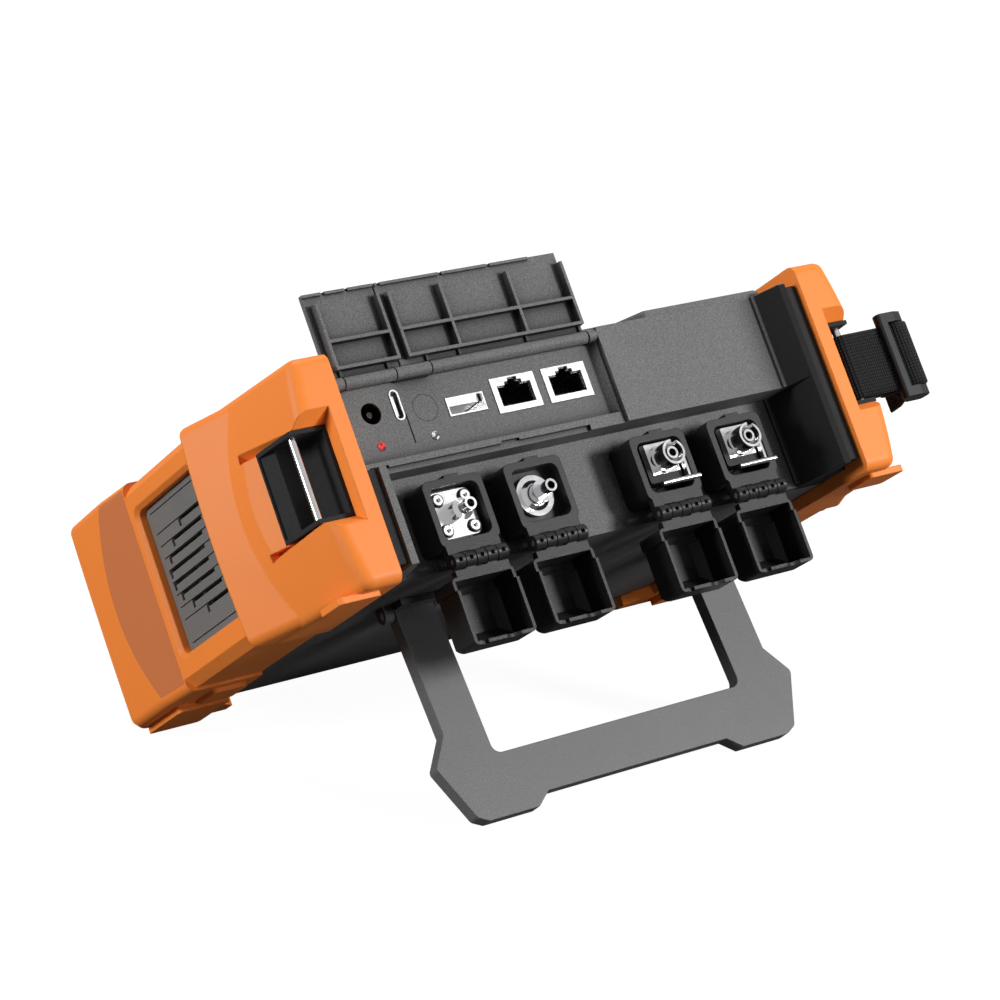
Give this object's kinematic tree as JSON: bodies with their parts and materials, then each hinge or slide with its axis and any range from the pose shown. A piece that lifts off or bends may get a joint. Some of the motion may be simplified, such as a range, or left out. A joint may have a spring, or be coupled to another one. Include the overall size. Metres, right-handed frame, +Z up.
{
  "type": "optical time domain reflectometer",
  "caption": "Handheld fibre tester in rubber end bumpers, propped on its kickstand, with its socket flaps and hinged optical port caps open and a buckled hand strap.",
  "frame": {"origin": "centre of the bounding box, on the floor under the propped instrument", "axes": "+X along the connector side from the socket flaps to the strap, +Y away from the connector side, +Z up"},
  "size_m": [0.245, 0.1618, 0.1505],
  "materials": {
    "charcoal_plastic": "fine moulded texture",
    "port_plastic": "satin",
    "orange_rubber": "soft satin",
    "black_rubber": "matt",
    "black_plastic": "matt",
    "stand_grey": "fine moulded texture",
    "polished_steel": "bright",
    "pin_steel": "ground",
    "socket_shell": "bright",
    "socket_black": "smooth",
    "screen_glass": "gloss",
    "display_black": "smooth",
    "red_lens": "clear red",
    "clear_lens": "clear",
    "key_rubber": "satin",
    "webbing": "woven",
    "buckle_plastic": "satin",
    "board_green": "solder mask",
    "battery_wrap": "film",
    "module_can": "brushed"
  },
  "bodies": {
    "case": {"adapter_round": "polished_steel", "adapter_screws": "polished_steel", "adapter_square": "polished_steel", "adapter_threaded_3": "polished_steel", "adapter_threaded_4": "polished_steel", "battery_door": "charcoal_plastic", "battery_pack": "battery_wrap", "blanking_plug": "charcoal_plastic", "board_screws": "pin_steel", "bumper_left": "orange_rubber", "bumper_right": "orange_rubber", "cap_hinge_pins": "pin_steel", "charge_lamp": "red_lens", "dc_jack": "socket_black", "display_module": "display_black", "edge_gasket_left": "black_rubber", "edge_gasket_right": "black_rubber", "flap_hinge_pin": "pin_steel", "front_bezel": "charcoal_plastic", "front_housing": "charcoal_plastic", "kickstand_pins": "pin_steel", "main_board": "board_green", "network_sockets": "socket_shell", "optical_module": "module_can", "port_collar_1": "port_plastic", "port_collar_2": "port_plastic", "port_collar_3": "port_plastic", "port_collar_4": "port_plastic", "rear_housing": "charcoal_plastic", "side_grille_left": "black_plastic", "side_grille_right": "black_plastic", "status_lamp": "clear_lens", "strap_liner_left": "black_rubber", "strap_liner_right": "black_rubber", "strap_pin_left": "polished_steel", "strap_pin_right": "polished_steel", "touch_glass": "screen_glass", "usb_a_socket": "socket_shell", "usb_c_socket": "socket_shell"},
    "key_1": {"key_1": "key_rubber"},
    "key_2": {"key_2": "key_rubber"},
    "key_3": {"key_3": "key_rubber"},
    "key_4": {"key_4": "key_rubber"},
    "kickstand": {"kickstand": "stand_grey"},
    "large_flap": {"large_flap": "charcoal_plastic"},
    "latch_lever_3": {"latch_lever_3": "polished_steel"},
    "latch_lever_4": {"latch_lever_4": "polished_steel"},
    "port_cap_1": {"port_cap_1": "port_plastic"},
    "port_cap_2": {"port_cap_2": "port_plastic"},
    "port_cap_3": {"port_cap_3": "port_plastic"},
    "port_cap_4": {"port_cap_4": "port_plastic"},
    "power_key": {"power_key": "key_rubber"},
    "small_flap": {"small_flap": "charcoal_plastic"},
    "strap": {"hand_strap": "webbing", "strap_buckle": "buckle_plastic"}
  },
  "joints": [
    {"name": "small_flap_hinge", "type": "hinge", "parent": "case", "child": "small_flap", "pos_m": [-0.07602, -0.02833, 0.12772], "axis": [1, 0, 0], "range_deg": [0, 180]},
    {"name": "large_flap_hinge", "type": "hinge", "parent": "case", "child": "large_flap", "pos_m": [-0.03072, -0.02833, 0.12772], "axis": [1, 0, 0], "range_deg": [0, 180]},
    {"name": "port_cap_1_hinge", "type": "hinge", "parent": "case", "child": "port_cap_1", "pos_m": [-0.06252, -0.06588, 0.08223], "axis": [-1, 0, 0], "range_deg": [0, 180]},
    {"name": "port_cap_2_hinge", "type": "hinge", "parent": "case", "child": "port_cap_2", "pos_m": [-0.03402, -0.06588, 0.08223], "axis": [-1, 0, 0], "range_deg": [0, 180]},
    {"name": "port_cap_3_hinge", "type": "hinge", "parent": "case", "child": "port_cap_3", "pos_m": [0.01227, -0.06588, 0.08223], "axis": [-1, 0, 0], "range_deg": [0, 180]},
    {"name": "port_cap_4_hinge", "type": "hinge", "parent": "case", "child": "port_cap_4", "pos_m": [0.04197, -0.06588, 0.08223], "axis": [-1, 0, 0], "range_deg": [0, 180]},
    {"name": "kickstand_hinge", "type": "hinge", "parent": "case", "child": "kickstand", "pos_m": [-0.00752, -0.02969, 0.05295], "axis": [1, 0, 0], "range_deg": [0, 95]},
    {"name": "power_key_press", "type": "slide", "parent": "case", "child": "power_key", "axis": [0, -0.5951, -0.8037], "range_m": [0, 0.0008], "stiffness_N_per_m": 400},
    {"name": "key_1_press", "type": "slide", "parent": "case", "child": "key_1", "axis": [0, -0.5951, -0.8037], "range_m": [0, 0.0008], "stiffness_N_per_m": 400},
    {"name": "key_2_press", "type": "slide", "parent": "case", "child": "key_2", "axis": [0, -0.5951, -0.8037], "range_m": [0, 0.0008], "stiffness_N_per_m": 400},
    {"name": "key_3_press", "type": "slide", "parent": "case", "child": "key_3", "axis": [0, -0.5951, -0.8037], "range_m": [0, 0.0008], "stiffness_N_per_m": 400},
    {"name": "key_4_press", "type": "slide", "parent": "case", "child": "key_4", "axis": [0, -0.5951, -0.8037], "range_m": [0, 0.0008], "stiffness_N_per_m": 400},
    {"name": "latch_lever_3_hinge", "type": "hinge", "parent": "case", "child": "latch_lever_3", "pos_m": [0.01227, -0.0574, 0.08628], "axis": [1, 0, 0], "range_deg": [0, 8]},
    {"name": "latch_lever_4_hinge", "type": "hinge", "parent": "case", "child": "latch_lever_4", "pos_m": [0.04197, -0.0574, 0.08628], "axis": [1, 0, 0], "range_deg": [0, 8]},
    {"name": "strap_swing", "type": "hinge", "parent": "case", "child": "strap", "pos_m": [0.09348, -0.04675, 0.10738], "axis": [0, 0.5951, 0.8037], "range_deg": [-85, 40]}
  ]
}
